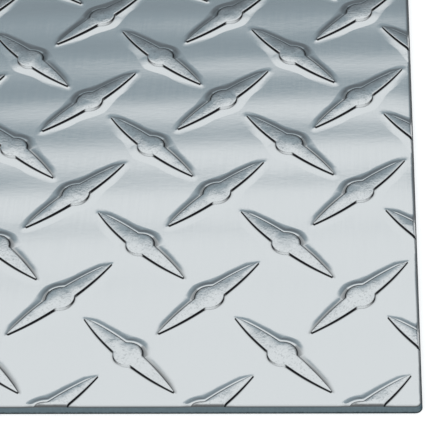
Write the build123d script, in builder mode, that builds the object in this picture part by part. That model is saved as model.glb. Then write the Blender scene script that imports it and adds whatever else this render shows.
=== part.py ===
"""Aluminium tread plate: one rolled sheet with raised diamond lugs, sheared to size.

Millimetres. The origin is the middle of the flat underside, +X to the right, +Y away from
the front edge and +Z up through the patterned face.
"""
import os
from math import ceil, floor

from build123d import *

# Sheet
sheet_width = 152.4
sheet_length = 152.4
sheet_thickness = 2.0
corner_radius = 1.5

# Lug pattern: two square grids half a pitch apart, with the lugs of one across those of the other
lug_pitch = 31.75
lug_angle = 45.0
lug_from_right_edge = 12.3
lug_from_front_edge = 29.8

# Crown of a lug: two pointed wings, and a round button that stands a little above them
lug_length = 28.4
wing_width = 3.7
wing_height = 0.85
tip_height = 0.5
button_diameter = 6.2
button_height = 0.95
crown_draft = 12.0

# Swell of metal that the crown stands on
swell_length = 32.4
swell_width = 10.5
swell_height = 0.2


with BuildPart() as lug:
    # wings: a leaf between two arcs that meet at the tips
    with BuildSketch():
        with BuildLine():
            ThreePointArc((-lug_length / 2, 0), (0, -wing_width / 2), (lug_length / 2, 0))
            ThreePointArc((lug_length / 2, 0), (0, wing_width / 2), (-lug_length / 2, 0))
        make_face()
    extrude(amount=wing_height, taper=crown_draft)
    # the tops of the wings fall away towards the tips
    with BuildSketch(Plane.XZ):
        Polygon(
            (-lug_length / 2, 0),
            (lug_length / 2, 0),
            (lug_length / 2, tip_height),
            (0, wing_height),
            (-lug_length / 2, tip_height),
            align=None,
        )
    extrude(amount=wing_width, both=True, mode=Mode.INTERSECT)
    # button
    with BuildSketch():
        Circle(button_diameter / 2)
    extrude(amount=button_height, taper=crown_draft)
    # swell: a low pyramid on a long diamond foot
    with BuildSketch() as swell_foot:
        Polygon(
            (swell_length / 2, 0),
            (0, swell_width / 2),
            (-swell_length / 2, 0),
            (0, -swell_width / 2),
            align=None,
        )
    loft(sections=[swell_foot.sketch, Vertex(0, 0, swell_height)], ruled=True)


def grid_marks(first_mark, sheet_size):
    """Lug centres along one axis, one on each pitch where a lug can reach the sheet."""
    reach = (sheet_size + max(swell_length, lug_length)) / 2
    first_step = ceil((-reach - first_mark) / lug_pitch)
    last_step = floor((reach - first_mark) / lug_pitch)
    return [first_mark + step * lug_pitch for step in range(first_step, last_step + 1)]


def grid(shift):
    """Centres of the lugs that lean one way."""
    x_marks = grid_marks(sheet_width / 2 - lug_from_right_edge + shift, sheet_width)
    y_marks = grid_marks(lug_from_front_edge - sheet_length / 2 + shift, sheet_length)
    return [(x, y) for x in x_marks for y in y_marks]


with BuildPart() as tread_plate:
    # the sheet as it leaves the rolls, larger than the finished piece
    with BuildSketch():
        Rectangle(sheet_width + 4 * lug_pitch, sheet_length + 4 * lug_pitch)
    extrude(amount=sheet_thickness)
    with Locations((0, 0, sheet_thickness)):
        with Locations(*grid(0)):
            add(lug.part, rotation=(0, 0, lug_angle))
        with Locations(*grid(lug_pitch / 2)):
            add(lug.part, rotation=(0, 0, -lug_angle))
    # sheared to size, through the lugs that cross the edges
    with BuildSketch():
        RectangleRounded(sheet_width, sheet_length, corner_radius)
    extrude(amount=sheet_thickness + button_height, mode=Mode.INTERSECT)

tread_plate.part.label = "tread_plate"
os.makedirs("parts", exist_ok=True)
export_step(tread_plate.part, "parts/tread_plate.step")
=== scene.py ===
"""Looks of the aluminium tread plate: its rolled face with raised lugs, its sheared edges and its back."""
import logging
import math
from dataclasses import dataclass, field
from enum import Enum

import bmesh
import bpy
from mathutils import Matrix, Vector


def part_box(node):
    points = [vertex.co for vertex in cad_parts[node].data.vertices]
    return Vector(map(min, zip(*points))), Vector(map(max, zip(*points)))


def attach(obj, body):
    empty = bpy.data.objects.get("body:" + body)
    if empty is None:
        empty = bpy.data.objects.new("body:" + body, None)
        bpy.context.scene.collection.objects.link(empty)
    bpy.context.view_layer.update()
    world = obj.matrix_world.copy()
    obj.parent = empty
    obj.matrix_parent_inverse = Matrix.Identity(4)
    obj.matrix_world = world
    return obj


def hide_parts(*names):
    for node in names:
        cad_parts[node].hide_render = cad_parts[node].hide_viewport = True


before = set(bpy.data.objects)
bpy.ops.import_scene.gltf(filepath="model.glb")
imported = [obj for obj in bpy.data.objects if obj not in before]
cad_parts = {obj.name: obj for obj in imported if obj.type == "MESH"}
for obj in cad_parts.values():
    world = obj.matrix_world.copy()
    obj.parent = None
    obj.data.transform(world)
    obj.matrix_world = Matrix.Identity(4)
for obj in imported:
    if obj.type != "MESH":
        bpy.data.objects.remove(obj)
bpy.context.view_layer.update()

log = logging.getLogger("tread_plate")

Socket = bpy.types.NodeSocket
WorkMesh = bmesh.types.BMesh
Color = tuple[float, float, float, float]
Triple = tuple[float, float, float]
Span = tuple[float, float]

MM = 0.001
NODE = "tread_plate"
IMAGE_PIXELS = 440
CROWN_ATTRIBUTE = "crown"
# vertex attribute with the painted shade of the lugs' walls and the plate's rim
FLANK_ATTRIBUTE = "flank"
WELD_DISTANCE = 2e-6
TILE_WELD_DISTANCE = WELD_DISTANCE / 4
CUT_DISTANCE = WELD_DISTANCE / 10
LEAST_WIDTH = 1e-9
STREAK_DETAIL = 3.0
STREAK_LIMITS = (0.3, 0.7)


class Lean(Enum):
    """Which way the lugs of one grid lean, seen from above with the front edge nearest."""

    RIGHT = math.radians(45.0)
    LEFT = math.radians(-45.0)


class Side(Enum):
    """The two sides of a lug: the one that faces the plate's front edge, and the one that faces away."""

    NEAR = -1
    FAR = 1


class Zone(Enum):
    """The plate's three kinds of surface, in the order of its material slots."""

    ROLLED_FACE = 0
    SHEARED_EDGE = 1
    PLAIN_BACK = 2


def clamp(value: float, low: float, high: float) -> float:
    """Keeps a value between two limits."""
    return min(max(value, low), high)


def smooth_step(low: float, high: float, value: float) -> float:
    """Eases from 0 at low to 1 at high.

    Args:
        low: Value at which the result is 0.
        high: Value at which the result is 1.
        value: Value to ease.

    Returns:
        A number from 0 to 1.
    """
    share = clamp((value - low) / (high - low), 0.0, 1.0)
    return share * share * (3.0 - 2.0 * share)


def soft_max(first: float, second: float, blend: float) -> float:
    """The larger of two numbers, rounded off where they are nearly equal.

    Args:
        first: One number.
        second: The other number.
        blend: Difference under which the two melt into each other.

    Returns:
        The softened maximum.
    """
    share = clamp(0.5 + 0.5 * (first - second) / blend, 0.0, 1.0)
    return second + (first - second) * share + blend * share * (1.0 - share)


def placed(name: str, mesh: WorkMesh) -> bpy.types.Object:
    """Makes an object of a finished mesh and puts it in the scene.

    Args:
        name: Name of the object and of its mesh.
        mesh: The mesh, which is freed.

    Returns:
        The new object.
    """
    data = bpy.data.meshes.new(name)
    mesh.to_mesh(data)
    mesh.free()
    item = bpy.data.objects.new(name, data)
    bpy.context.scene.collection.objects.link(item)
    return item


@dataclass(frozen=True)
class NoiseSize:
    """How coarse a noise texture is.

    Attributes:
        scale: Cells per metre.
        detail: Number of finer layers.
        roughness: Strength of the finer layers.
    """

    scale: float
    detail: float = 2.0
    roughness: float = 0.5


class Graph:
    """Adds nodes to a node tree and links them."""

    # places of the colour sockets on a Mix node
    MIX_SHARE = 0
    MIX_FIRST = 6
    MIX_SECOND = 7
    MIX_RESULT = 2

    def __init__(self, tree: bpy.types.NodeTree) -> None:
        """Keeps the tree that the nodes go into."""
        self.tree = tree

    def add(self, kind: str, inputs: dict[str, object] | None = None, **values: object) -> bpy.types.Node:
        """Adds a node.

        Args:
            kind: Blender's name for the type of node.
            inputs: Sockets or plain values for its inputs, by name.
            values: Properties of the node, by name.

        Returns:
            The new node.
        """
        node = self.tree.nodes.new(kind)
        for name, value in values.items():
            setattr(node, name, value)
        for name, source in (inputs or {}).items():
            self.link(source, node.inputs[name])
        return node

    def link(self, source: object, target: Socket) -> None:
        """Feeds a socket from another socket, or sets it to a plain value.

        Args:
            source: Socket or value to feed it from.
            target: Socket to feed.
        """
        if isinstance(source, Socket):
            self.tree.links.new(source, target)
        else:
            target.default_value = source

    def math(self, operation: str, first: object, second: object = 0.0) -> Socket:
        """Adds a Math node.

        Args:
            operation: What it does.
            first: Its first value or socket.
            second: Its second value or socket.

        Returns:
            The result's socket.
        """
        node = self.add("ShaderNodeMath", operation=operation)
        self.link(first, node.inputs[0])
        self.link(second, node.inputs[1])
        return node.outputs[0]

    def ramp(self, value: object, limits: Span, results: Span = (0.0, 1.0)) -> Socket:
        """Adds a Map Range node that eases between two values.

        Args:
            value: Socket to map.
            limits: Values that give the first and the second result.
            results: The two results.

        Returns:
            The result's socket.
        """
        inputs = {
            "Value": value,
            "From Min": limits[0],
            "From Max": limits[1],
            "To Min": results[0],
            "To Max": results[1],
        }
        return self.add("ShaderNodeMapRange", inputs, interpolation_type="SMOOTHSTEP").outputs["Result"]

    def mix(self, share: object, first: object, second: object) -> Socket:
        """Adds a colour mix.

        Args:
            share: How much of the second colour there is.
            first: First colour or socket.
            second: Second colour or socket.

        Returns:
            The mixed colour's socket.
        """
        node = self.add("ShaderNodeMix", data_type="RGBA")
        self.link(share, node.inputs[self.MIX_SHARE])
        self.link(first, node.inputs[self.MIX_FIRST])
        self.link(second, node.inputs[self.MIX_SECOND])
        return node.outputs[self.MIX_RESULT]

    def axes(self, vector: object) -> bpy.types.NodeOutputs:
        """Splits coordinates into the sockets X, Y and Z."""
        return self.add("ShaderNodeSeparateXYZ", {"Vector": vector}).outputs

    def stretched(self, vector: object, scale: Triple) -> Socket:
        """Scales coordinates by a factor for each axis."""
        return self.add("ShaderNodeMapping", {"Vector": vector, "Scale": scale}).outputs["Vector"]

    def noise(self, vector: object, size: NoiseSize) -> Socket:
        """Adds a noise texture.

        Args:
            vector: Socket with the coordinates.
            size: How coarse the noise is.

        Returns:
            The socket of the noise's value.
        """
        inputs = {
            "Vector": vector,
            "Scale": size.scale,
            "Detail": size.detail,
            "Roughness": size.roughness,
        }
        return self.add("ShaderNodeTexNoise", inputs).outputs["Fac"]

    def bump(self, height: object, distance: float, below: object = None) -> Socket:
        """Adds a Bump node.

        Args:
            height: Socket of the height, in units of distance.
            distance: Height of one unit, in metres.
            below: Normal to start from, if there is one.

        Returns:
            The socket of the bumped normal.
        """
        node = self.add("ShaderNodeBump", {"Height": height, "Distance": distance})
        if below is not None:
            self.link(below, node.inputs["Normal"])
        return node.outputs["Normal"]


def fresh_graph(owner: bpy.types.Material | bpy.types.World) -> Graph:
    """Gives a material or a world an empty node tree.

    Args:
        owner: The material or the world.

    Returns:
        The graph of its nodes.
    """
    owner.use_nodes = True
    owner.node_tree.nodes.clear()
    return Graph(owner.node_tree)


@dataclass
class Station:
    """One station along a quarter of the crown's outline, in the lug's own plan.

    Attributes:
        crown: Point on the outline of the crown.
        hull: Point beside it on the same outline with its notches filled.
        outward: Unit vector square to the outline, pointing away from the crown.
        foot: Point on the foot of the swell that belongs to it.
    """

    crown: Vector
    hull: Vector
    outward: Vector
    foot: Vector


@dataclass
class Ring:
    """One line of points round a quarter of the lug.

    Attributes:
        crown: How far the line belongs to the top of the crown, from 0 to 1.
        flank: Painted shade of the line where it is full, from 0 to 1, in place of the dark reflections of
            the lug's walls.
        slope: Whether it lies on the slope at the foot of the crown's wall.
        points: Points of the line, from the flank to the tip.
    """

    crown: float = 0.0
    flank: float = 0.0
    slope: bool = False
    points: list[Vector] = field(default_factory=list)

    def add(self, place: Vector, level: float) -> None:
        """Adds the point at a place in plan and a height above the sheet."""
        self.points.append(place.to_3d() + Vector((0, 0, level)))


@dataclass(frozen=True)
class FlankStep:
    """One step out from the crown on a lug's flank.

    Attributes:
        distance: Distance from the crown's outline.
        rise: Height above the swell.
        shade: Painted shade of the flank there, from 0 to 1.
    """

    distance: float
    rise: float
    shade: float = 0.0


@dataclass(frozen=True)
class Lug:
    """A lug and the share of flat sheet round it, as a tile that repeats over the plate.

    A span holds where a change starts and where it ends. A painted shade runs from 0, bright, to 1, dark:
    the walls are painted dark in place of the dark reflections that they show, most where they face the
    plate's front edge.
    """

    pitch: float = 31.75 * MM
    length: float = 28.4 * MM
    # wings of the crown, arched along the lug and dished across it
    wing_width: float = 3.7 * MM
    wing_height: float = 0.8 * MM
    tip_height: float = 0.5 * MM
    tip_radius: float = 0.16 * MM
    arch_power: float = 1.5
    section_tilt: float = 0.055 * MM
    section_sag: float = 0.055 * MM
    # button in the middle, with the most that its dish is deeper than the wings'
    button_diameter: float = 6.2 * MM
    button_rise: float = 0.005 * MM
    button_dip: float = 1.7
    button_shoulder: float = 0.8 * MM
    # notches between the button and the wings, filled in towards the foot of the flanks; fill_reach is
    # in button diameters
    notch_blend: float = 0.3 * MM
    notch_fill: float = 2.4 * MM
    notch_fade: Span = (0.1 * MM, 0.7 * MM)
    fill_reach: Span = (0.8, 0.5)
    # rounded edge of the crown
    edge_radius: float = 0.12 * MM
    rounding_share: float = 0.3
    rounding_crown: float = 0.6
    # swell: a low diamond in the middle that follows the crown towards the tips
    swell_length: float = 32.4 * MM
    swell_width: float = 11.4 * MM
    swell_height: float = 0.16 * MM
    swell_corner: float = 0.8 * MM
    swell_margin: float = 1.85 * MM
    swell_bulge: float = 1.0 * MM
    swell_blend: Span = (0.3, 0.6)
    ramp_share: float = 0.92
    ramp_level: float = 0.4
    flat_margin: float = 0.1 * MM
    # flanks, with painted shades: a wall with a soft slope at its foot on the near side, and a narrow
    # ledge on the far side
    near_flank: tuple[FlankStep, ...] = (
        FlankStep(0.08 * MM, 0.1 * MM, 1.0),
        FlankStep(0.18 * MM, 0.092 * MM, 0.95),
        FlankStep(0.32 * MM, 0.083 * MM, 0.2),
        FlankStep(0.55 * MM, 0.071 * MM),
        FlankStep(0.9 * MM, 0.053 * MM),
        FlankStep(1.3 * MM, 0.033 * MM),
        FlankStep(1.62 * MM, 0.019 * MM),
    )
    far_flank: tuple[FlankStep, ...] = (
        FlankStep(0.08 * MM, 0.09 * MM, 0.8),
        FlankStep(0.16 * MM, 0.094 * MM, 0.7),
        FlankStep(0.5 * MM, 0.115 * MM, 0.5),
        FlankStep(0.6 * MM, 0.113 * MM, 0.4),
        FlankStep(0.8 * MM, 0.09 * MM, 0.2),
        FlankStep(1.15 * MM, 0.05 * MM, 0.05),
        FlankStep(1.55 * MM, 0.016 * MM),
    )
    near_tip_fade: float = 6.0 * MM
    far_tip_fade: float = 2.5 * MM
    tip_share: float = 0.55
    # painted shades of the crown's edge, and how they change with the way that the flank faces;
    # button_reach is in notch blends beyond the button
    near_rounding_shade: float = 0.15
    far_rim_shades: Span = (0.65, 1.0)
    far_line: float = 0.7
    far_line_facing: Span = (0.74, 0.6)
    button_facing: Span = (1.15, 0.4)
    button_reach: Span = (1.6, 0.3)
    button_foot_shade: float = 0.5
    # points of the mesh
    top_shares: tuple[float, ...] = (0.0, 0.4, 0.75, 0.93, 1.0)
    notch_turn: float = 1.12
    wing_start: float = 1.04
    wing_spacing: float = 0.85
    button_steps: int = 7
    notch_steps: int = 4
    wing_steps: int = 9
    tip_steps: int = 3

    def leaf_half_width(self, along: float) -> float:
        """Half the width of the wings' leaf.

        Args:
            along: Distance along the lug from its middle.

        Returns:
            The half width there.
        """
        inner_length = self.length / 2 - self.tip_radius
        inner_width = self.wing_width / 2 - self.tip_radius
        share = min(along / inner_length, 1.0)
        return inner_width * (1.0 - share * share) + self.tip_radius

    def button_half_width(self, along: float) -> float:
        """Half the width of the round button at a distance along the lug."""
        return math.sqrt(max((self.button_diameter / 2) ** 2 - along * along, 0.0))

    def half_width(self, along: float, blend: float) -> float:
        """Half the width of the crown at a distance along the lug, with its notches blended."""
        return soft_max(self.leaf_half_width(along), self.button_half_width(along), blend)

    def outline(self) -> list[Vector]:
        """Outline of a quarter of the crown.

        Returns:
            Points from the flank of the button to the tip of the wing.
        """
        button_radius = self.button_diameter / 2
        notch = math.asin(self.wing_width / self.button_diameter) * self.notch_turn
        notch_start = button_radius * math.cos(notch)
        wing_start = button_radius * self.wing_start
        inner_length = self.length / 2 - self.tip_radius
        alongs = []
        for step in range(self.button_steps):
            turn = math.pi / 2 + (notch - math.pi / 2) * step / self.button_steps
            alongs.append(button_radius * math.cos(turn))
        for step in range(self.notch_steps):
            alongs.append(notch_start + (wing_start - notch_start) * step / self.notch_steps)
        for step in range(self.wing_steps):
            share = step / self.wing_steps
            alongs.append(wing_start + (inner_length - wing_start) * share ** self.wing_spacing)
        points = [Vector((along, self.half_width(along, self.notch_blend))) for along in alongs]
        inner_width = self.wing_width / 2 - self.tip_radius
        steepest = math.atan2(inner_length, 2.0 * inner_width)
        for step in range(self.tip_steps + 1):
            turn = steepest * (1.0 - step / self.tip_steps)
            along = inner_length + self.tip_radius * math.cos(turn)
            points.append(Vector((along, self.tip_radius * math.sin(turn))))
        return points

    def softened(self, along: float) -> float:
        """Distance along the lug, rounded off where the swell's two halves meet."""
        return math.sqrt(along * along + self.swell_corner ** 2)

    def stations(self) -> list[Station]:
        """The stations of a quarter of the lug.

        Returns:
            The stations, from the flank of the button to the tip of the wing.
        """
        points = self.outline()
        half_length = self.swell_length / 2
        half_width = self.swell_width / 2
        found = []
        for index, point in enumerate(points):
            if index == 0:
                outward = Vector((0.0, 1.0))
            elif index == len(points) - 1:
                outward = Vector((1.0, 0.0))
            else:
                run = points[index + 1] - points[index - 1]
                outward = Vector((-run.y, run.x)).normalized()
            foot_along = point.x * self.swell_length / self.length
            foot_across = half_width * max(1.0 - self.softened(foot_along) / half_length, 0.0)
            share = 2.0 * point.x / self.length
            margin = self.swell_margin + self.swell_bulge * (1.0 - share)
            beside_wing = smooth_step(*self.swell_blend, share)
            foot = Vector((foot_along, foot_across)).lerp(point + outward * margin, beside_wing)
            filled = self.half_width(point.x, self.notch_fill)
            fill_start, fill_end = (self.button_diameter * reach for reach in self.fill_reach)
            beside_button = smooth_step(fill_start, fill_end, point.x)
            hull = Vector((point.x, point.y + (filled - point.y) * beside_button))
            found.append(Station(point, hull, outward, foot))
        return found

    def swell_level(self, point: Vector) -> float:
        """Height of the swell above the sheet at a point in plan."""
        share = 1.0 - self.softened(point.x) / (self.swell_length / 2)
        return self.swell_height * max(share - abs(point.y) / (self.swell_width / 2), 0.0)

    def crown_level(self, point: Vector, half_width: float) -> float:
        """Height of the crown's top above the sheet.

        Args:
            point: Point in plan, with its distance across positive on the far side.
            half_width: Half the crown's width there.

        Returns:
            The height, arched along the lug, dipping towards the far edge and raised over the button.
        """
        share = min(abs(point.x) / (self.length / 2), 1.0)
        arch = self.wing_height - (self.wing_height - self.tip_height) * share ** self.arch_power
        across = clamp(point.y / max(half_width, LEAST_WIDTH), -1.0, 1.0)
        section = -self.section_tilt * across - self.section_sag * across ** 2
        slender = min(half_width / (self.wing_width / 2), self.button_dip)
        radius = self.button_diameter / 2
        raised = smooth_step(radius, radius - self.button_shoulder, point.length)
        return arch + section * slender + self.button_rise * raised

    def crown_rings(self, side: Side) -> list[Ring]:
        """The rings on the crown's top and its rounded edge.

        Args:
            side: Side of the lug that the quarter is on.

        Returns:
            The rings, from the spine out to the top of the crown's wall.
        """
        near = side is Side.NEAR
        top = [Ring(crown=1.0) for _ in self.top_shares]
        if not near:
            top[-2].flank, top[-1].flank = self.far_rim_shades
        rounding = Ring(crown=self.rounding_crown, flank=self.near_rounding_shade if near else 1.0)
        brow = Ring(flank=1.0)
        for station in self.stations():
            half_width = station.crown.y
            inner = station.crown - station.outward * self.edge_radius
            inner.y = max(inner.y, 0.0)
            for ring, share in zip(top, self.top_shares):
                place = Vector((inner.x, inner.y * share))
                ring.add(place, self.crown_level(Vector((place.x, place.y * side.value)), half_width))
            level = self.crown_level(Vector((station.crown.x, half_width * side.value)), half_width)
            chamfer = station.crown - station.outward * self.edge_radius * self.rounding_share
            chamfer.y = max(chamfer.y, 0.0)
            rounding.add(chamfer, level - self.edge_radius * self.rounding_share)
            brow.add(station.crown, level - self.edge_radius)
        return [*top, rounding, brow]

    def flank_rings(self, side: Side) -> list[Ring]:
        """The rings down the crown's wall and over the slope at its foot.

        Args:
            side: Side of the lug that the quarter is on.

        Returns:
            The rings, from the wall outwards.
        """
        near = side is Side.NEAR
        steps = self.near_flank if near else self.far_flank
        rings = [Ring(flank=step.shade, slope=index > 0) for index, step in enumerate(steps)]
        for station in self.stations():
            outward = (station.foot - station.crown).normalized()
            to_tip = self.length / 2 - station.crown.x
            widened = smooth_step(0.0, self.near_tip_fade, to_tip)
            fullness = self.tip_share + (1.0 - self.tip_share) * widened
            softness = 0.0 if near else smooth_step(0.0, self.far_tip_fade, to_tip)
            for ring, near_step, far_step in zip(rings, self.near_flank, self.far_flank):
                distance = near_step.distance * fullness
                rise = near_step.rise * fullness
                distance += (far_step.distance - distance) * softness
                rise += (far_step.rise - rise) * softness
                base = station.crown.lerp(station.hull, smooth_step(*self.notch_fade, distance))
                place = base + outward * distance
                ring.add(place, self.swell_level(place) + rise)
        return rings

    def foot_rings(self) -> list[Ring]:
        """The rings where the swell runs out into the flat sheet.

        Returns:
            The rings, from the swell outwards.
        """
        ramp, foot, flat = Ring(), Ring(), Ring()
        for station in self.stations():
            reach = station.foot - station.crown
            place = station.crown + reach * self.ramp_share
            ramp.add(place, self.swell_level(place) * self.ramp_level)
            foot.add(station.foot, 0.0)
            flat.add(station.foot + reach.normalized() * self.flat_margin, 0.0)
        return [ramp, foot, flat]

    def shade(self, ring: Ring, crown: Vector, away: float, side: Side) -> float:
        """How much painted shade a point of the crown's flank gets.

        Args:
            ring: Ring that the point is on.
            crown: Point of the crown's outline beside it.
            away: How squarely the outline faces away from the plate's front edge there, from -1 to 1.
            side: Side of the lug.

        Returns:
            The ring's painted shade, less where the flank faces the way that catches the light.
        """
        if side is Side.FAR:
            line = 0.0 if ring.slope else self.far_line
            return ring.flank * max(smooth_step(*self.far_line_facing, away), line)
        radius = self.button_diameter / 2
        outer, inner = (radius + self.notch_blend * reach for reach in self.button_reach)
        button = smooth_step(outer, inner, crown.length)
        kept = smooth_step(*self.button_facing, -away)
        if ring.slope:
            kept *= self.button_foot_shade
        return ring.flank * (1.0 - button * (1.0 - kept))

    def border(self) -> list[Vector]:
        """Border of a quarter of the tile.

        Returns:
            Its corners, from beyond the tip of the lug round to its flank.
        """
        diagonal = self.pitch / math.sqrt(2.0)
        tip = (self.swell_length / 2 + diagonal - self.swell_width / 2) / 2
        return [Vector((tip, 0.0)), Vector((diagonal / 2, diagonal / 2)), Vector((0.0, diagonal - tip))]

    def add_quarter(self, mesh: WorkMesh, lean: Lean, side: Side, direction: int) -> None:
        """Adds a quarter of the lug and the flat sheet out to the tile's border.

        Args:
            mesh: Mesh of the tile.
            lean: Which way the tile's grid leans, for the painted shades of the flanks.
            side: Side of the lug that the quarter is on.
            direction: End of the lug that the quarter is on, 1 or -1.
        """
        crown_layer = mesh.verts.layers.float[CROWN_ATTRIBUTE]
        painted_shade_layer = mesh.verts.layers.float[FLANK_ATTRIBUTE]
        flip = Vector((direction, side.value, 1))
        stations = self.stations()
        lines = []
        for ring in (*self.crown_rings(side), *self.flank_rings(side), *self.foot_rings()):
            line = []
            for station, point in zip(stations, ring.points):
                outward = station.outward * flip.xy
                away = outward.x * math.sin(lean.value) + outward.y * math.cos(lean.value)
                vertex = mesh.verts.new(point * flip)
                vertex[crown_layer] = ring.crown
                # painted shade of the flank, by the way that it faces on the plate
                vertex[painted_shade_layer] = self.shade(ring, station.crown, away, side)
                line.append(vertex)
            lines.append(line)
        for inner, outer in zip(lines, lines[1:]):
            for index in range(len(inner) - 1):
                mesh.faces.new((inner[index], outer[index], outer[index + 1], inner[index + 1]))
        corners = [mesh.verts.new(point.to_3d() * flip) for point in self.border()]
        sheet = mesh.faces.new([*lines[-1], *corners])
        sheet.normal_update()
        bmesh.ops.triangulate(mesh, faces=[sheet])

    def tile(self, lean: Lean) -> bpy.types.Object:
        """Builds the tile from the lug's four quarters.

        Args:
            lean: Which way the tile's grid leans.

        Returns:
            A scratch object with the tile's mesh.
        """
        mesh = bmesh.new()
        for name in (CROWN_ATTRIBUTE, FLANK_ATTRIBUTE):
            mesh.verts.layers.float.new(name)
        for side in Side:
            for direction in (1, -1):
                self.add_quarter(mesh, lean, side, direction)
        bmesh.ops.remove_doubles(mesh, verts=mesh.verts[:], dist=TILE_WELD_DISTANCE)
        mesh.normal_update()
        bmesh.ops.reverse_faces(mesh, faces=[face for face in mesh.faces if face.normal.z < 0])
        return placed("lug_tile", mesh)


@dataclass
class LugField:
    """The two grids of lugs over the plate, each repeated from one tile."""

    lug: Lug
    low: Vector
    high: Vector
    from_right_edge: float = 12.3 * MM
    from_front_edge: float = 29.8 * MM

    def marks(self, first: float, low: float, high: float) -> tuple[float, int]:
        """Tile centres along one axis.

        Args:
            first: Any one of the centres.
            low: Where the plate starts.
            high: Where the plate ends.

        Returns:
            The middle of the row of centres, and how many there are.
        """
        reach = self.lug.swell_length / 2 + self.lug.flat_margin
        start = math.ceil((low - reach - first) / self.lug.pitch)
        stop = math.floor((high + reach - first) / self.lug.pitch)
        return first + self.lug.pitch * (start + stop) / 2, stop - start + 1

    def tree(self) -> bpy.types.NodeTree:
        """Builds the node tree that sets a tile on every point of a grid.

        Returns:
            The geometry node tree.
        """
        tree = bpy.data.node_groups.new("lug_grid", "GeometryNodeTree")
        sockets = (
            ("Tile", "NodeSocketObject"),
            ("Pitch", "NodeSocketFloat"),
            ("Columns", "NodeSocketInt"),
            ("Rows", "NodeSocketInt"),
            ("Middle", "NodeSocketVector"),
            ("Lean", "NodeSocketFloat"),
            ("Finish", "NodeSocketMaterial"),
        )
        for name, kind in sockets:
            tree.interface.new_socket(name, in_out="INPUT", socket_type=kind)
        tree.interface.new_socket("Geometry", in_out="OUTPUT", socket_type="NodeSocketGeometry")
        graph = Graph(tree)
        given = graph.add("NodeGroupInput").outputs
        sizes = {}
        for axis, count in (("X", "Columns"), ("Y", "Rows")):
            gaps = graph.math("SUBTRACT", given[count], 1.0)
            sizes[f"Size {axis}"] = graph.math("MULTIPLY", gaps, given["Pitch"])
            sizes[f"Vertices {axis}"] = given[count]
        grid = graph.add("GeometryNodeMeshGrid", sizes).outputs["Mesh"]
        place = graph.add("GeometryNodeTransform", {"Geometry": grid, "Translation": given["Middle"]})
        source = graph.add("GeometryNodeObjectInfo", {"Object": given["Tile"]})
        turn = graph.add("ShaderNodeCombineXYZ", {"Z": given["Lean"]})
        rotation = graph.add("FunctionNodeEulerToRotation", {"Euler": turn.outputs["Vector"]})
        copies = graph.add(
            "GeometryNodeInstanceOnPoints",
            {
                "Points": place.outputs["Geometry"],
                "Instance": source.outputs["Geometry"],
                "Rotation": rotation.outputs["Rotation"],
            },
        )
        realize = graph.add("GeometryNodeRealizeInstances", {"Geometry": copies.outputs["Instances"]})
        finish = graph.add(
            "GeometryNodeSetMaterial",
            {"Geometry": realize.outputs["Geometry"], "Material": given["Finish"]},
        )
        graph.add("NodeGroupOutput", {"Geometry": finish.outputs["Geometry"]})
        return tree

    def lay(self, lean: Lean, tree: bpy.types.NodeTree, finish: bpy.types.Material) -> bpy.types.Mesh:
        """Lays the grid of tiles that lean one way.

        Args:
            lean: Which way they lean.
            tree: Node tree that repeats the tile.
            finish: Material of the patterned face.

        Returns:
            The grid's mesh.
        """
        tile = self.lug.tile(lean)
        shift = 0.0 if lean is Lean.RIGHT else self.lug.pitch / 2
        first_x = self.high.x - self.from_right_edge + shift
        first_y = self.low.y + self.from_front_edge + shift
        middle_x, columns = self.marks(first_x, self.low.x, self.high.x)
        middle_y, rows = self.marks(first_y, self.low.y, self.high.y)
        holder = bpy.data.objects.new("lug_grid", bpy.data.meshes.new("lug_grid"))
        bpy.context.scene.collection.objects.link(holder)
        modifier = holder.modifiers.new("lug_grid", "NODES")
        modifier.node_group = tree
        values = {
            "Tile": tile,
            "Pitch": self.lug.pitch,
            "Columns": columns,
            "Rows": rows,
            "Middle": (middle_x, middle_y, 0.0),
            "Lean": lean.value,
            "Finish": finish,
        }
        for socket in tree.interface.items_tree:
            if socket.in_out == "INPUT":
                modifier[socket.identifier] = values[socket.name]
        evaluated = holder.evaluated_get(bpy.context.evaluated_depsgraph_get())
        data = bpy.data.meshes.new_from_object(evaluated)
        bpy.data.objects.remove(holder)
        bpy.data.objects.remove(tile)
        log.info("lugs leaning %s: %d by %d", lean.name.lower(), columns, rows)
        return data

    def build(self, finish: bpy.types.Material) -> WorkMesh:
        """Lays both grids of tiles and welds them into one patterned face.

        Args:
            finish: Material of the patterned face.

        Returns:
            The face, larger than the plate, with the flat of the sheet at height 0.
        """
        tree = self.tree()
        face = bmesh.new()
        for lean in Lean:
            data = self.lay(lean, tree, finish)
            face.from_mesh(data)
            bpy.data.meshes.remove(data)
        bmesh.ops.remove_doubles(face, verts=face.verts[:], dist=WELD_DISTANCE)
        for item in face.faces:
            item.material_index = Zone.ROLLED_FACE.value
        return face


def streak_group() -> bpy.types.NodeTree:
    """The fine streaks that rolls and blades leave in metal, as a shader node group.

    Returns:
        A group that takes coordinates, a stretch for each axis and a scale, and gives a value from 0 to 1.
    """
    found = bpy.data.node_groups.get("metal_streaks")
    if found:
        return found
    tree = bpy.data.node_groups.new("metal_streaks", "ShaderNodeTree")
    sockets = (
        ("Vector", "NodeSocketVector"),
        ("Stretch", "NodeSocketVector"),
        ("Scale", "NodeSocketFloat"),
    )
    for name, kind in sockets:
        tree.interface.new_socket(name, in_out="INPUT", socket_type=kind)
    tree.interface.new_socket("Streaks", in_out="OUTPUT", socket_type="NodeSocketFloat")
    graph = Graph(tree)
    given = graph.add("NodeGroupInput").outputs
    stretched = graph.add("ShaderNodeVectorMath", operation="MULTIPLY")
    graph.link(given["Vector"], stretched.inputs[0])
    graph.link(given["Stretch"], stretched.inputs[1])
    texture = graph.add(
        "ShaderNodeTexNoise",
        {"Vector": stretched.outputs[0], "Scale": given["Scale"], "Detail": STREAK_DETAIL},
    )
    graph.add("NodeGroupOutput", {"Streaks": graph.ramp(texture.outputs["Fac"], STREAK_LIMITS)})
    return tree


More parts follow.
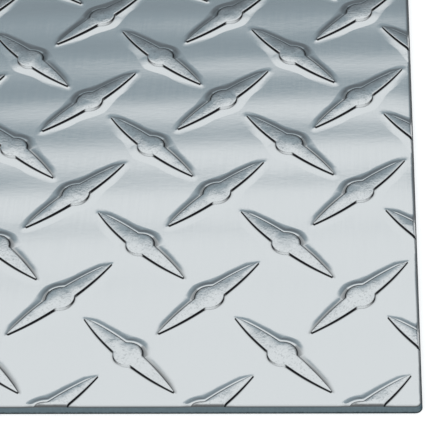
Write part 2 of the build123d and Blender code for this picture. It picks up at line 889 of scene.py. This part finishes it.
@dataclass(frozen=True)
class MetalFinish:
    """A bare metal surface with fine streaks."""

    name: str
    color: Color
    roughness: float
    streak_stretch: Triple
    streak_scale: float
    streak_height: float
    streak_roughness: float
    edge_tint: Color = (1.0, 1.0, 1.0, 1.0)

    def start(self) -> tuple[bpy.types.Material, Graph, bpy.types.Node]:
        """Makes the material with its shader.

        Returns:
            The material, its graph and its Principled shader.
        """
        material = bpy.data.materials.new(self.name)
        graph = fresh_graph(material)
        shader = graph.add(
            "ShaderNodeBsdfPrincipled",
            {"Metallic": 1.0, "Base Color": self.color, "Specular Tint": self.edge_tint},
        )
        graph.add("ShaderNodeOutputMaterial", {"Surface": shader.outputs["BSDF"]})
        return material, graph, shader

    def streaks(self, graph: Graph, coordinates: Socket) -> Socket:
        """Places the streak group with this finish's own values."""
        inputs = {"Vector": coordinates, "Stretch": self.streak_stretch, "Scale": self.streak_scale}
        return graph.add("ShaderNodeGroup", inputs, node_tree=streak_group()).outputs["Streaks"]

    def gloss(self, graph: Graph, streaks: Socket) -> Socket:
        """Roughness of the metal, which changes with the streaks."""
        results = (self.roughness - self.streak_roughness, self.roughness + self.streak_roughness)
        return graph.ramp(streaks, (0.0, 1.0), results)

    def material(self) -> bpy.types.Material:
        """Builds the material, with streaks in its gloss and its relief.

        Returns:
            The material.
        """
        material, graph, shader = self.start()
        coordinates = graph.add("ShaderNodeTexCoord").outputs["Object"]
        streaks = self.streaks(graph, coordinates)
        graph.link(self.gloss(graph, streaks), shader.inputs["Roughness"])
        graph.link(graph.bump(streaks, self.streak_height), shader.inputs["Normal"])
        return material


@dataclass(frozen=True)
class RolledFinish(MetalFinish):
    """The bright rolled face: slow waves in the sheet, mottled crowns, and painted shade on the lugs'
    flanks and the rim.
    """

    # painted shade: colour mixed in by the flank attribute, in place of the dark reflections of the lugs'
    # walls and the rim
    painted_shade_color: Color = (0.012, 0.0135, 0.015, 1.0)
    wave_length: float = 15.875 * MM
    wave_start: float = -46.0 * MM
    wave_height: float = 0.028 * MM
    ripple_stretch: Triple = (0.5, 1.0, 1.0)
    ripple_size: NoiseSize = NoiseSize(scale=70.0, detail=1.0)
    ripple_height: float = 0.05 * MM
    grain_stretch: Triple = (0.45, 1.0, 1.0)
    grain_size: NoiseSize = NoiseSize(scale=800.0, detail=3.0, roughness=0.65)
    grain_height: float = 0.006 * MM
    patch_size: NoiseSize = NoiseSize(scale=260.0, detail=1.0)
    patch_limits: Span = (0.4, 0.65)
    mottle_size: NoiseSize = NoiseSize(scale=2000.0, roughness=0.6)
    mottle_height: float = 0.032 * MM
    mottle_roughness: float = 0.08
    pit_color: Color = (0.3, 0.32, 0.335, 1.0)
    pit_limits: Span = (0.5, 0.7)
    pit_share: float = 0.3

    def material(self) -> bpy.types.Material:
        """Builds the material of the rolled face.

        Returns:
            The material.
        """
        material, graph, shader = self.start()
        coordinates = graph.add("ShaderNodeTexCoord").outputs["Object"]
        streaks = self.streaks(graph, coordinates)
        crown = graph.add("ShaderNodeAttribute", attribute_name=CROWN_ATTRIBUTE).outputs["Fac"]
        flank = graph.add("ShaderNodeAttribute", attribute_name=FLANK_ATTRIBUTE).outputs["Fac"]
        run = graph.math("SUBTRACT", graph.axes(coordinates)["Y"], self.wave_start)
        wave = graph.math("COSINE", graph.math("MULTIPLY", run, 2.0 * math.pi / self.wave_length))
        ripple = graph.noise(graph.stretched(coordinates, self.ripple_stretch), self.ripple_size)
        grain = graph.noise(graph.stretched(coordinates, self.grain_stretch), self.grain_size)
        patches = graph.ramp(graph.noise(coordinates, self.patch_size), self.patch_limits)
        mottle = graph.noise(coordinates, self.mottle_size)
        wear_and_shade = graph.math("MULTIPLY", crown, patches)
        normal = graph.bump(wave, self.wave_height)
        normal = graph.bump(ripple, self.ripple_height, normal)
        normal = graph.bump(grain, self.grain_height, normal)
        normal = graph.bump(graph.math("MULTIPLY", mottle, wear_and_shade), self.mottle_height, normal)
        normal = graph.bump(streaks, self.streak_height, normal)
        graph.link(normal, shader.inputs["Normal"])
        dulled = graph.math("MULTIPLY", wear_and_shade, self.mottle_roughness)
        roughness = graph.math("ADD", self.gloss(graph, streaks), dulled)
        graph.link(roughness, shader.inputs["Roughness"])
        pits = graph.math("MULTIPLY", graph.ramp(mottle, self.pit_limits), crown)
        pits = graph.math("MULTIPLY", pits, self.pit_share)
        pitted = graph.mix(pits, self.color, self.pit_color)
        # painted shade: the flank attribute darkens the base colour on the lugs' walls and along the rim
        graph.link(graph.mix(flank, pitted, self.painted_shade_color), shader.inputs["Base Color"])
        return material


@dataclass(frozen=True)
class ShearedFinish(MetalFinish):
    """The sheared edges: painted dark as painted shade, in place of the dark reflections of the walls, and
    darker towards the foot.
    """

    # darker towards the foot of the wall
    dark_foot_color: Color = (0.04, 0.055, 0.06, 1.0)
    dark_foot_height: float = 0.55 * MM
    dark_foot_share: float = 0.3
    ragged_depth: float = 0.15 * MM

    def material(self) -> bpy.types.Material:
        """Builds the material of the sheared edges.

        Returns:
            The material.
        """
        material, graph, shader = self.start()
        coordinates = graph.add("ShaderNodeTexCoord").outputs["Object"]
        streaks = self.streaks(graph, coordinates)
        height = graph.axes(coordinates)["Z"]
        ragged = graph.math("ADD", height, graph.math("MULTIPLY", streaks, -self.ragged_depth))
        limits = (self.dark_foot_height, self.dark_foot_height * self.dark_foot_share)
        dark_foot = graph.ramp(ragged, limits)
        graph.link(graph.mix(dark_foot, self.color, self.dark_foot_color), shader.inputs["Base Color"])
        graph.link(self.gloss(graph, streaks), shader.inputs["Roughness"])
        graph.link(graph.bump(streaks, self.streak_height), shader.inputs["Normal"])
        return material


@dataclass
class TreadPlate:
    """The plate: the patterned face trimmed to size, its sheared edges and its flat back."""

    low: Vector
    high: Vector
    lug: Lug = field(default_factory=Lug)
    thickness: float = 2.0 * MM
    corner_radius: float = 1.5 * MM
    corner_steps: int = 6
    # rim of the face, rolled over and painted dark: painted shade in place of the dark reflection along
    # the edge
    rollover: float = 0.65 * MM
    rollover_drop: float = 0.22 * MM
    rim_shade_reach: float = 0.42 * MM
    rim_painted_shade: float = 0.9
    # ends of the lugs that the edges cut, with shares of how far in they are crushed and where their
    # painted shade starts
    cut_height: float = 0.3 * MM
    crushed: float = 0.3 * MM
    crush_start: float = -0.3
    crush_shade_start: float = 0.4
    crush_lines: tuple[float, ...] = (1.0, 0.5, 0.25)
    # sheared wall, with shares of its height and of its lean at each step down to the burr
    lean: float = 0.25 * MM
    wall_steps: tuple[Span, ...] = ((0.6, 0.15), (0.25, 0.7))
    burr_radius: float = 0.1 * MM
    rolled: MetalFinish = RolledFinish(
        name="rolled_face",
        color=(0.9, 0.91, 0.915, 1.0),
        roughness=0.1,
        streak_stretch=(1.0, 0.03, 1.0),
        streak_scale=2500.0,
        streak_height=0.0001 * MM,
        streak_roughness=0.015,
    )
    # painted shade: colour and edge tint of the sheared edges are far darker than the metal, in place of
    # the dark reflections that the walls show
    sheared: MetalFinish = ShearedFinish(
        name="sheared_edge",
        color=(0.125, 0.165, 0.185, 1.0),
        roughness=0.38,
        streak_stretch=(1.0, 1.0, 0.05),
        streak_scale=4000.0,
        streak_height=0.01 * MM,
        streak_roughness=0.08,
        edge_tint=(0.1, 0.12, 0.13, 1.0),
    )
    back: MetalFinish = MetalFinish(
        name="plain_back",
        color=(0.88, 0.89, 0.9, 1.0),
        roughness=0.24,
        streak_stretch=(1.0, 0.02, 1.0),
        streak_scale=1800.0,
        streak_height=0.001 * MM,
        streak_roughness=0.05,
    )

    @property
    def middle(self) -> Vector:
        """Middle of the plate's box."""
        return (self.low + self.high) / 2

    @property
    def half(self) -> Vector:
        """Half the size of the plate's box."""
        return (self.high - self.low) / 2

    def edge_lines(self) -> list[tuple[Vector, Vector]]:
        """The straight lines that bound the plate in plan, with each corner as a few short ones.

        Returns:
            A point on each line and the unit vector that points out of the plate there.
        """
        lines = []
        corners = (
            (self.high.x, self.high.y, 1, 1),
            (self.low.x, self.high.y, -1, 1),
            (self.low.x, self.low.y, -1, -1),
            (self.high.x, self.low.y, 1, -1),
        )
        reach = self.corner_radius - self.lean
        for quarter, (x, y, x_way, y_way) in enumerate(corners):
            centre = Vector((x, y, 0.0)) - Vector((x_way, y_way, 0)) * self.corner_radius
            for step in range(self.corner_steps):
                turn = math.radians(90.0) * (quarter + step / self.corner_steps)
                outward = Vector((math.cos(turn), math.sin(turn), 0.0))
                lines.append((centre + outward * reach, outward))
        return lines

    def depth_inside(self, point: Vector) -> float:
        """Distance in plan from a point to the outline of the plate's top.

        Args:
            point: The point.

        Returns:
            The distance, positive inside the outline.
        """
        reach_x = abs(point.x - self.middle.x) - self.half.x + self.corner_radius
        reach_y = abs(point.y - self.middle.y) - self.half.y + self.corner_radius
        outside = math.hypot(max(reach_x, 0.0), max(reach_y, 0.0))
        return self.corner_radius - self.lean - outside - min(max(reach_x, reach_y), 0.0)

    def trim(self, face: WorkMesh) -> None:
        """Cuts the patterned face to the plate's outline, with finer lines where the edge rolls over.

        Args:
            face: The patterned face.
        """
        lines = self.edge_lines()
        for point, outward in lines:
            bmesh.ops.bisect_plane(
                face,
                geom=[*face.verts, *face.edges, *face.faces],
                dist=CUT_DISTANCE,
                plane_co=point,
                plane_no=outward,
                clear_outer=True,
            )
        rim = {
            item
            for vertex in face.verts
            if self.depth_inside(vertex.co) < 2 * self.rollover
            for item in vertex.link_faces
        }
        rim_edges = {edge for item in rim for edge in item.edges}
        rim_verts = {vertex for item in rim for vertex in item.verts}
        geometry = [*rim_verts, *rim_edges, *rim]
        for inset in (self.rollover, *(self.crushed * share for share in self.crush_lines)):
            for point, outward in lines:
                cut = bmesh.ops.bisect_plane(
                    face,
                    geom=geometry,
                    dist=CUT_DISTANCE,
                    plane_co=point - outward * inset,
                    plane_no=outward,
                )
                geometry = {*geometry, *cut["geom"], *cut["geom_cut"]}
                geometry = [item for item in geometry if item.is_valid]

    def roll_over(self, face: WorkMesh) -> None:
        """Lifts the face to the top of the sheet, crushes cut lugs, rounds the edges down and paints shade
        along the rim.

        Args:
            face: The trimmed face.
        """
        painted_shade_layer = face.verts.layers.float[FLANK_ATTRIBUTE]
        for vertex in face.verts:
            inside = max(self.depth_inside(vertex.co), 0.0)
            # painted shade: the rim and the crushed ends of cut lugs are painted dark in the flank
            # attribute
            wear_and_shade = smooth_step(self.rim_shade_reach, 0.0, inside)
            if vertex.co.z > self.cut_height:
                wear_and_shade = smooth_step(self.crushed, self.crushed * self.crush_shade_start, inside)
            vertex.co.z *= smooth_step(self.crush_start * self.crushed, self.crushed, inside)
            vertex.co.z += self.thickness
            if inside < self.rollover:
                vertex.co.z -= self.rollover_drop * (1.0 - inside / self.rollover) ** 2
                vertex[painted_shade_layer] = max(vertex[painted_shade_layer], self.rim_painted_shade * wear_and_shade)

    def close(self, face: WorkMesh) -> None:
        """Adds the sheared walls and the flat back under the patterned face.

        Args:
            face: The face, rolled over at its edges.
        """
        border = [edge for edge in face.edges if edge.is_boundary]
        top = self.thickness - self.rollover_drop
        steps = [(top * height, -self.lean * lean) for height, lean in self.wall_steps]
        steps += [(self.burr_radius, -self.lean), (0.0, -self.lean + self.burr_radius)]
        for level, inset in steps:
            grown = bmesh.ops.extrude_edge_only(face, edges=border)["geom"]
            border = [item for item in grown if isinstance(item, bmesh.types.BMEdge) and item.is_boundary]
            for item in grown:
                if isinstance(item, bmesh.types.BMFace):
                    item.material_index = Zone.SHEARED_EDGE.value
            for vertex in {end for edge in border for end in edge.verts}:
                vertex.co = self.moved_in(vertex.co, inset)
                vertex.co.z = level
        back = bmesh.ops.holes_fill(face, edges=border)["faces"]
        for item in back:
            item.material_index = Zone.PLAIN_BACK.value
        bmesh.ops.triangulate(face, faces=back)

    def moved_in(self, point: Vector, inset: float) -> Vector:
        """Moves a point near the edge in plan to a given distance from the outline of the plate's top.

        Args:
            point: Point near the edge.
            inset: Distance that it should have, positive inside the outline.

        Returns:
            The moved point.
        """
        straight = self.half - Vector((self.corner_radius, self.corner_radius, 0.0))
        offset = point - self.middle
        nearest_x = clamp(offset.x, -straight.x, straight.x)
        nearest_y = clamp(offset.y, -straight.y, straight.y)
        nearest = Vector((nearest_x, nearest_y, 0.0))
        outward = Vector((offset.x - nearest.x, offset.y - nearest.y, 0.0)).normalized()
        return point + outward * (self.depth_inside(point) - inset)

    def dress(self, data: bpy.types.Mesh, finishes: list[bpy.types.Material]) -> None:
        """Gives the plate's mesh its finishes and smooth shading.

        Args:
            data: Mesh of the plate.
            finishes: Materials in the order of the zones.
        """
        for finish in finishes:
            data.materials.append(finish)
        data.shade_smooth()

    def build(self) -> bpy.types.Object:
        """Builds the plate's mesh and dresses it.

        Returns:
            The finished piece, in place.
        """
        finishes = [finish.material() for finish in (self.rolled, self.sheared, self.back)]
        face = LugField(self.lug, self.low, self.high).build(finishes[Zone.ROLLED_FACE.value])
        self.trim(face)
        self.roll_over(face)
        self.close(face)
        bmesh.ops.recalc_face_normals(face, faces=face.faces[:])
        plate = placed("tread_plate_skin", face)
        self.dress(plate.data, finishes)
        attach(plate, "root")
        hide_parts(NODE)
        return plate


@dataclass
class Studio:
    """Pale floor, soft light from all round and the camera."""

    low: Vector
    high: Vector
    floor_size: float = 12.0
    floor_color: Color = (0.85, 0.85, 0.85, 1.0)
    floor_glow: float = 0.55
    # light by direction, with limits on the parts of the unit vector that points to it
    bright: Color = (0.735, 0.77, 0.785, 1.0)
    grey: Color = (0.28, 0.342, 0.378, 1.0)
    dim: Color = (0.13, 0.15, 0.165, 1.0)
    soft: Color = (0.5, 0.53, 0.55, 1.0)
    grey_heights: Span = (0.48, 0.645)
    bright_heights: Span = (0.625, 0.687)
    bright_tilt: float = 0.06
    soft_sides: Span = (0.4, 0.7)
    front_limits: Span = (-0.1, 0.35)
    # camera, placed from the plate's front right corner
    focal_pixels: float = 1892.0
    sensor_width: float = 36.0
    clip_start: float = 0.01
    eye_from_corner: Triple = (-10.36 * MM, -241.6 * MM, 293.4 * MM)
    aim_from_corner: Triple = (-42.87 * MM, 52.86 * MM, 2.45 * MM)
    roll: float = math.radians(-4.98)

    def floor(self) -> None:
        """Lays the floor, pale to the eye and in reflections, with the plate's shadow on it."""
        mesh = bmesh.new()
        bmesh.ops.create_grid(mesh, x_segments=1, y_segments=1, size=self.floor_size / 2)
        floor = placed("floor", mesh)
        material = bpy.data.materials.new("pale_floor")
        graph = fresh_graph(material)
        diffuse = graph.add("ShaderNodeBsdfDiffuse", {"Color": self.floor_color})
        path = graph.add("ShaderNodeLightPath").outputs
        seen = graph.math("MAXIMUM", path["Is Camera Ray"], path["Is Glossy Ray"])
        seen = graph.math("MAXIMUM", seen, path["Is Transmission Ray"])
        glow = graph.add("ShaderNodeEmission", {"Strength": graph.math("MULTIPLY", seen, self.floor_glow)})
        both = graph.add("ShaderNodeAddShader")
        graph.link(diffuse.outputs["BSDF"], both.inputs[0])
        graph.link(glow.outputs["Emission"], both.inputs[1])
        graph.add("ShaderNodeOutputMaterial", {"Surface": both.outputs["Shader"]})
        floor.data.materials.append(material)

    def world(self) -> None:
        """Lights the scene: bright overhead and behind the camera, softer at the sides and grey ahead."""
        world = bpy.data.worlds.new("studio")
        bpy.context.scene.world = world
        graph = fresh_graph(world)
        direction = graph.axes(graph.add("ShaderNodeTexCoord").outputs["Generated"])
        sideways = graph.math("ABSOLUTE", direction["X"])
        ahead = direction["Y"]
        height = direction["Z"]
        tilted = graph.math("ADD", height, graph.math("MULTIPLY", direction["X"], self.bright_tilt))
        front = graph.mix(graph.ramp(height, self.grey_heights), self.dim, self.grey)
        front = graph.mix(graph.ramp(tilted, self.bright_heights), front, self.bright)
        front = graph.mix(graph.ramp(sideways, self.soft_sides), front, self.soft)
        color = graph.mix(graph.ramp(ahead, self.front_limits), self.bright, front)
        background = graph.add("ShaderNodeBackground", {"Color": color})
        graph.add("ShaderNodeOutputWorld", {"Surface": background.outputs["Background"]})

    def camera(self) -> None:
        """Sets the camera."""
        corner = Vector((self.high.x, self.low.y, self.low.z))
        eye = corner + Vector(self.eye_from_corner)
        aim = corner + Vector(self.aim_from_corner)
        data = bpy.data.cameras.new("camera")
        data.sensor_width = self.sensor_width
        data.lens = self.focal_pixels / IMAGE_PIXELS * self.sensor_width
        data.clip_start = self.clip_start
        camera = bpy.data.objects.new("camera", data)
        bpy.context.scene.collection.objects.link(camera)
        look = (aim - eye).to_track_quat("-Z", "Y").to_matrix().to_4x4()
        camera.matrix_world = Matrix.Translation(eye) @ look @ Matrix.Rotation(self.roll, 4, "Z")
        bpy.context.scene.camera = camera

    def build(self) -> None:
        """Builds the floor, the light and the camera."""
        self.floor()
        self.world()
        self.camera()
        bpy.context.scene.view_settings.view_transform = "Standard"


def main() -> None:
    """Builds the plate and the studio."""
    logging.basicConfig(level=logging.INFO, format="%(name)s: %(message)s")
    low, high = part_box(NODE)
    plate = TreadPlate(low, high).build()
    plate.data.calc_loop_triangles()
    log.info("%s: %d triangles", plate.name, len(plate.data.loop_triangles))
    Studio(low, high).build()
    log.info("studio: floor, light and camera")


if __name__ == "__main__":
    main()
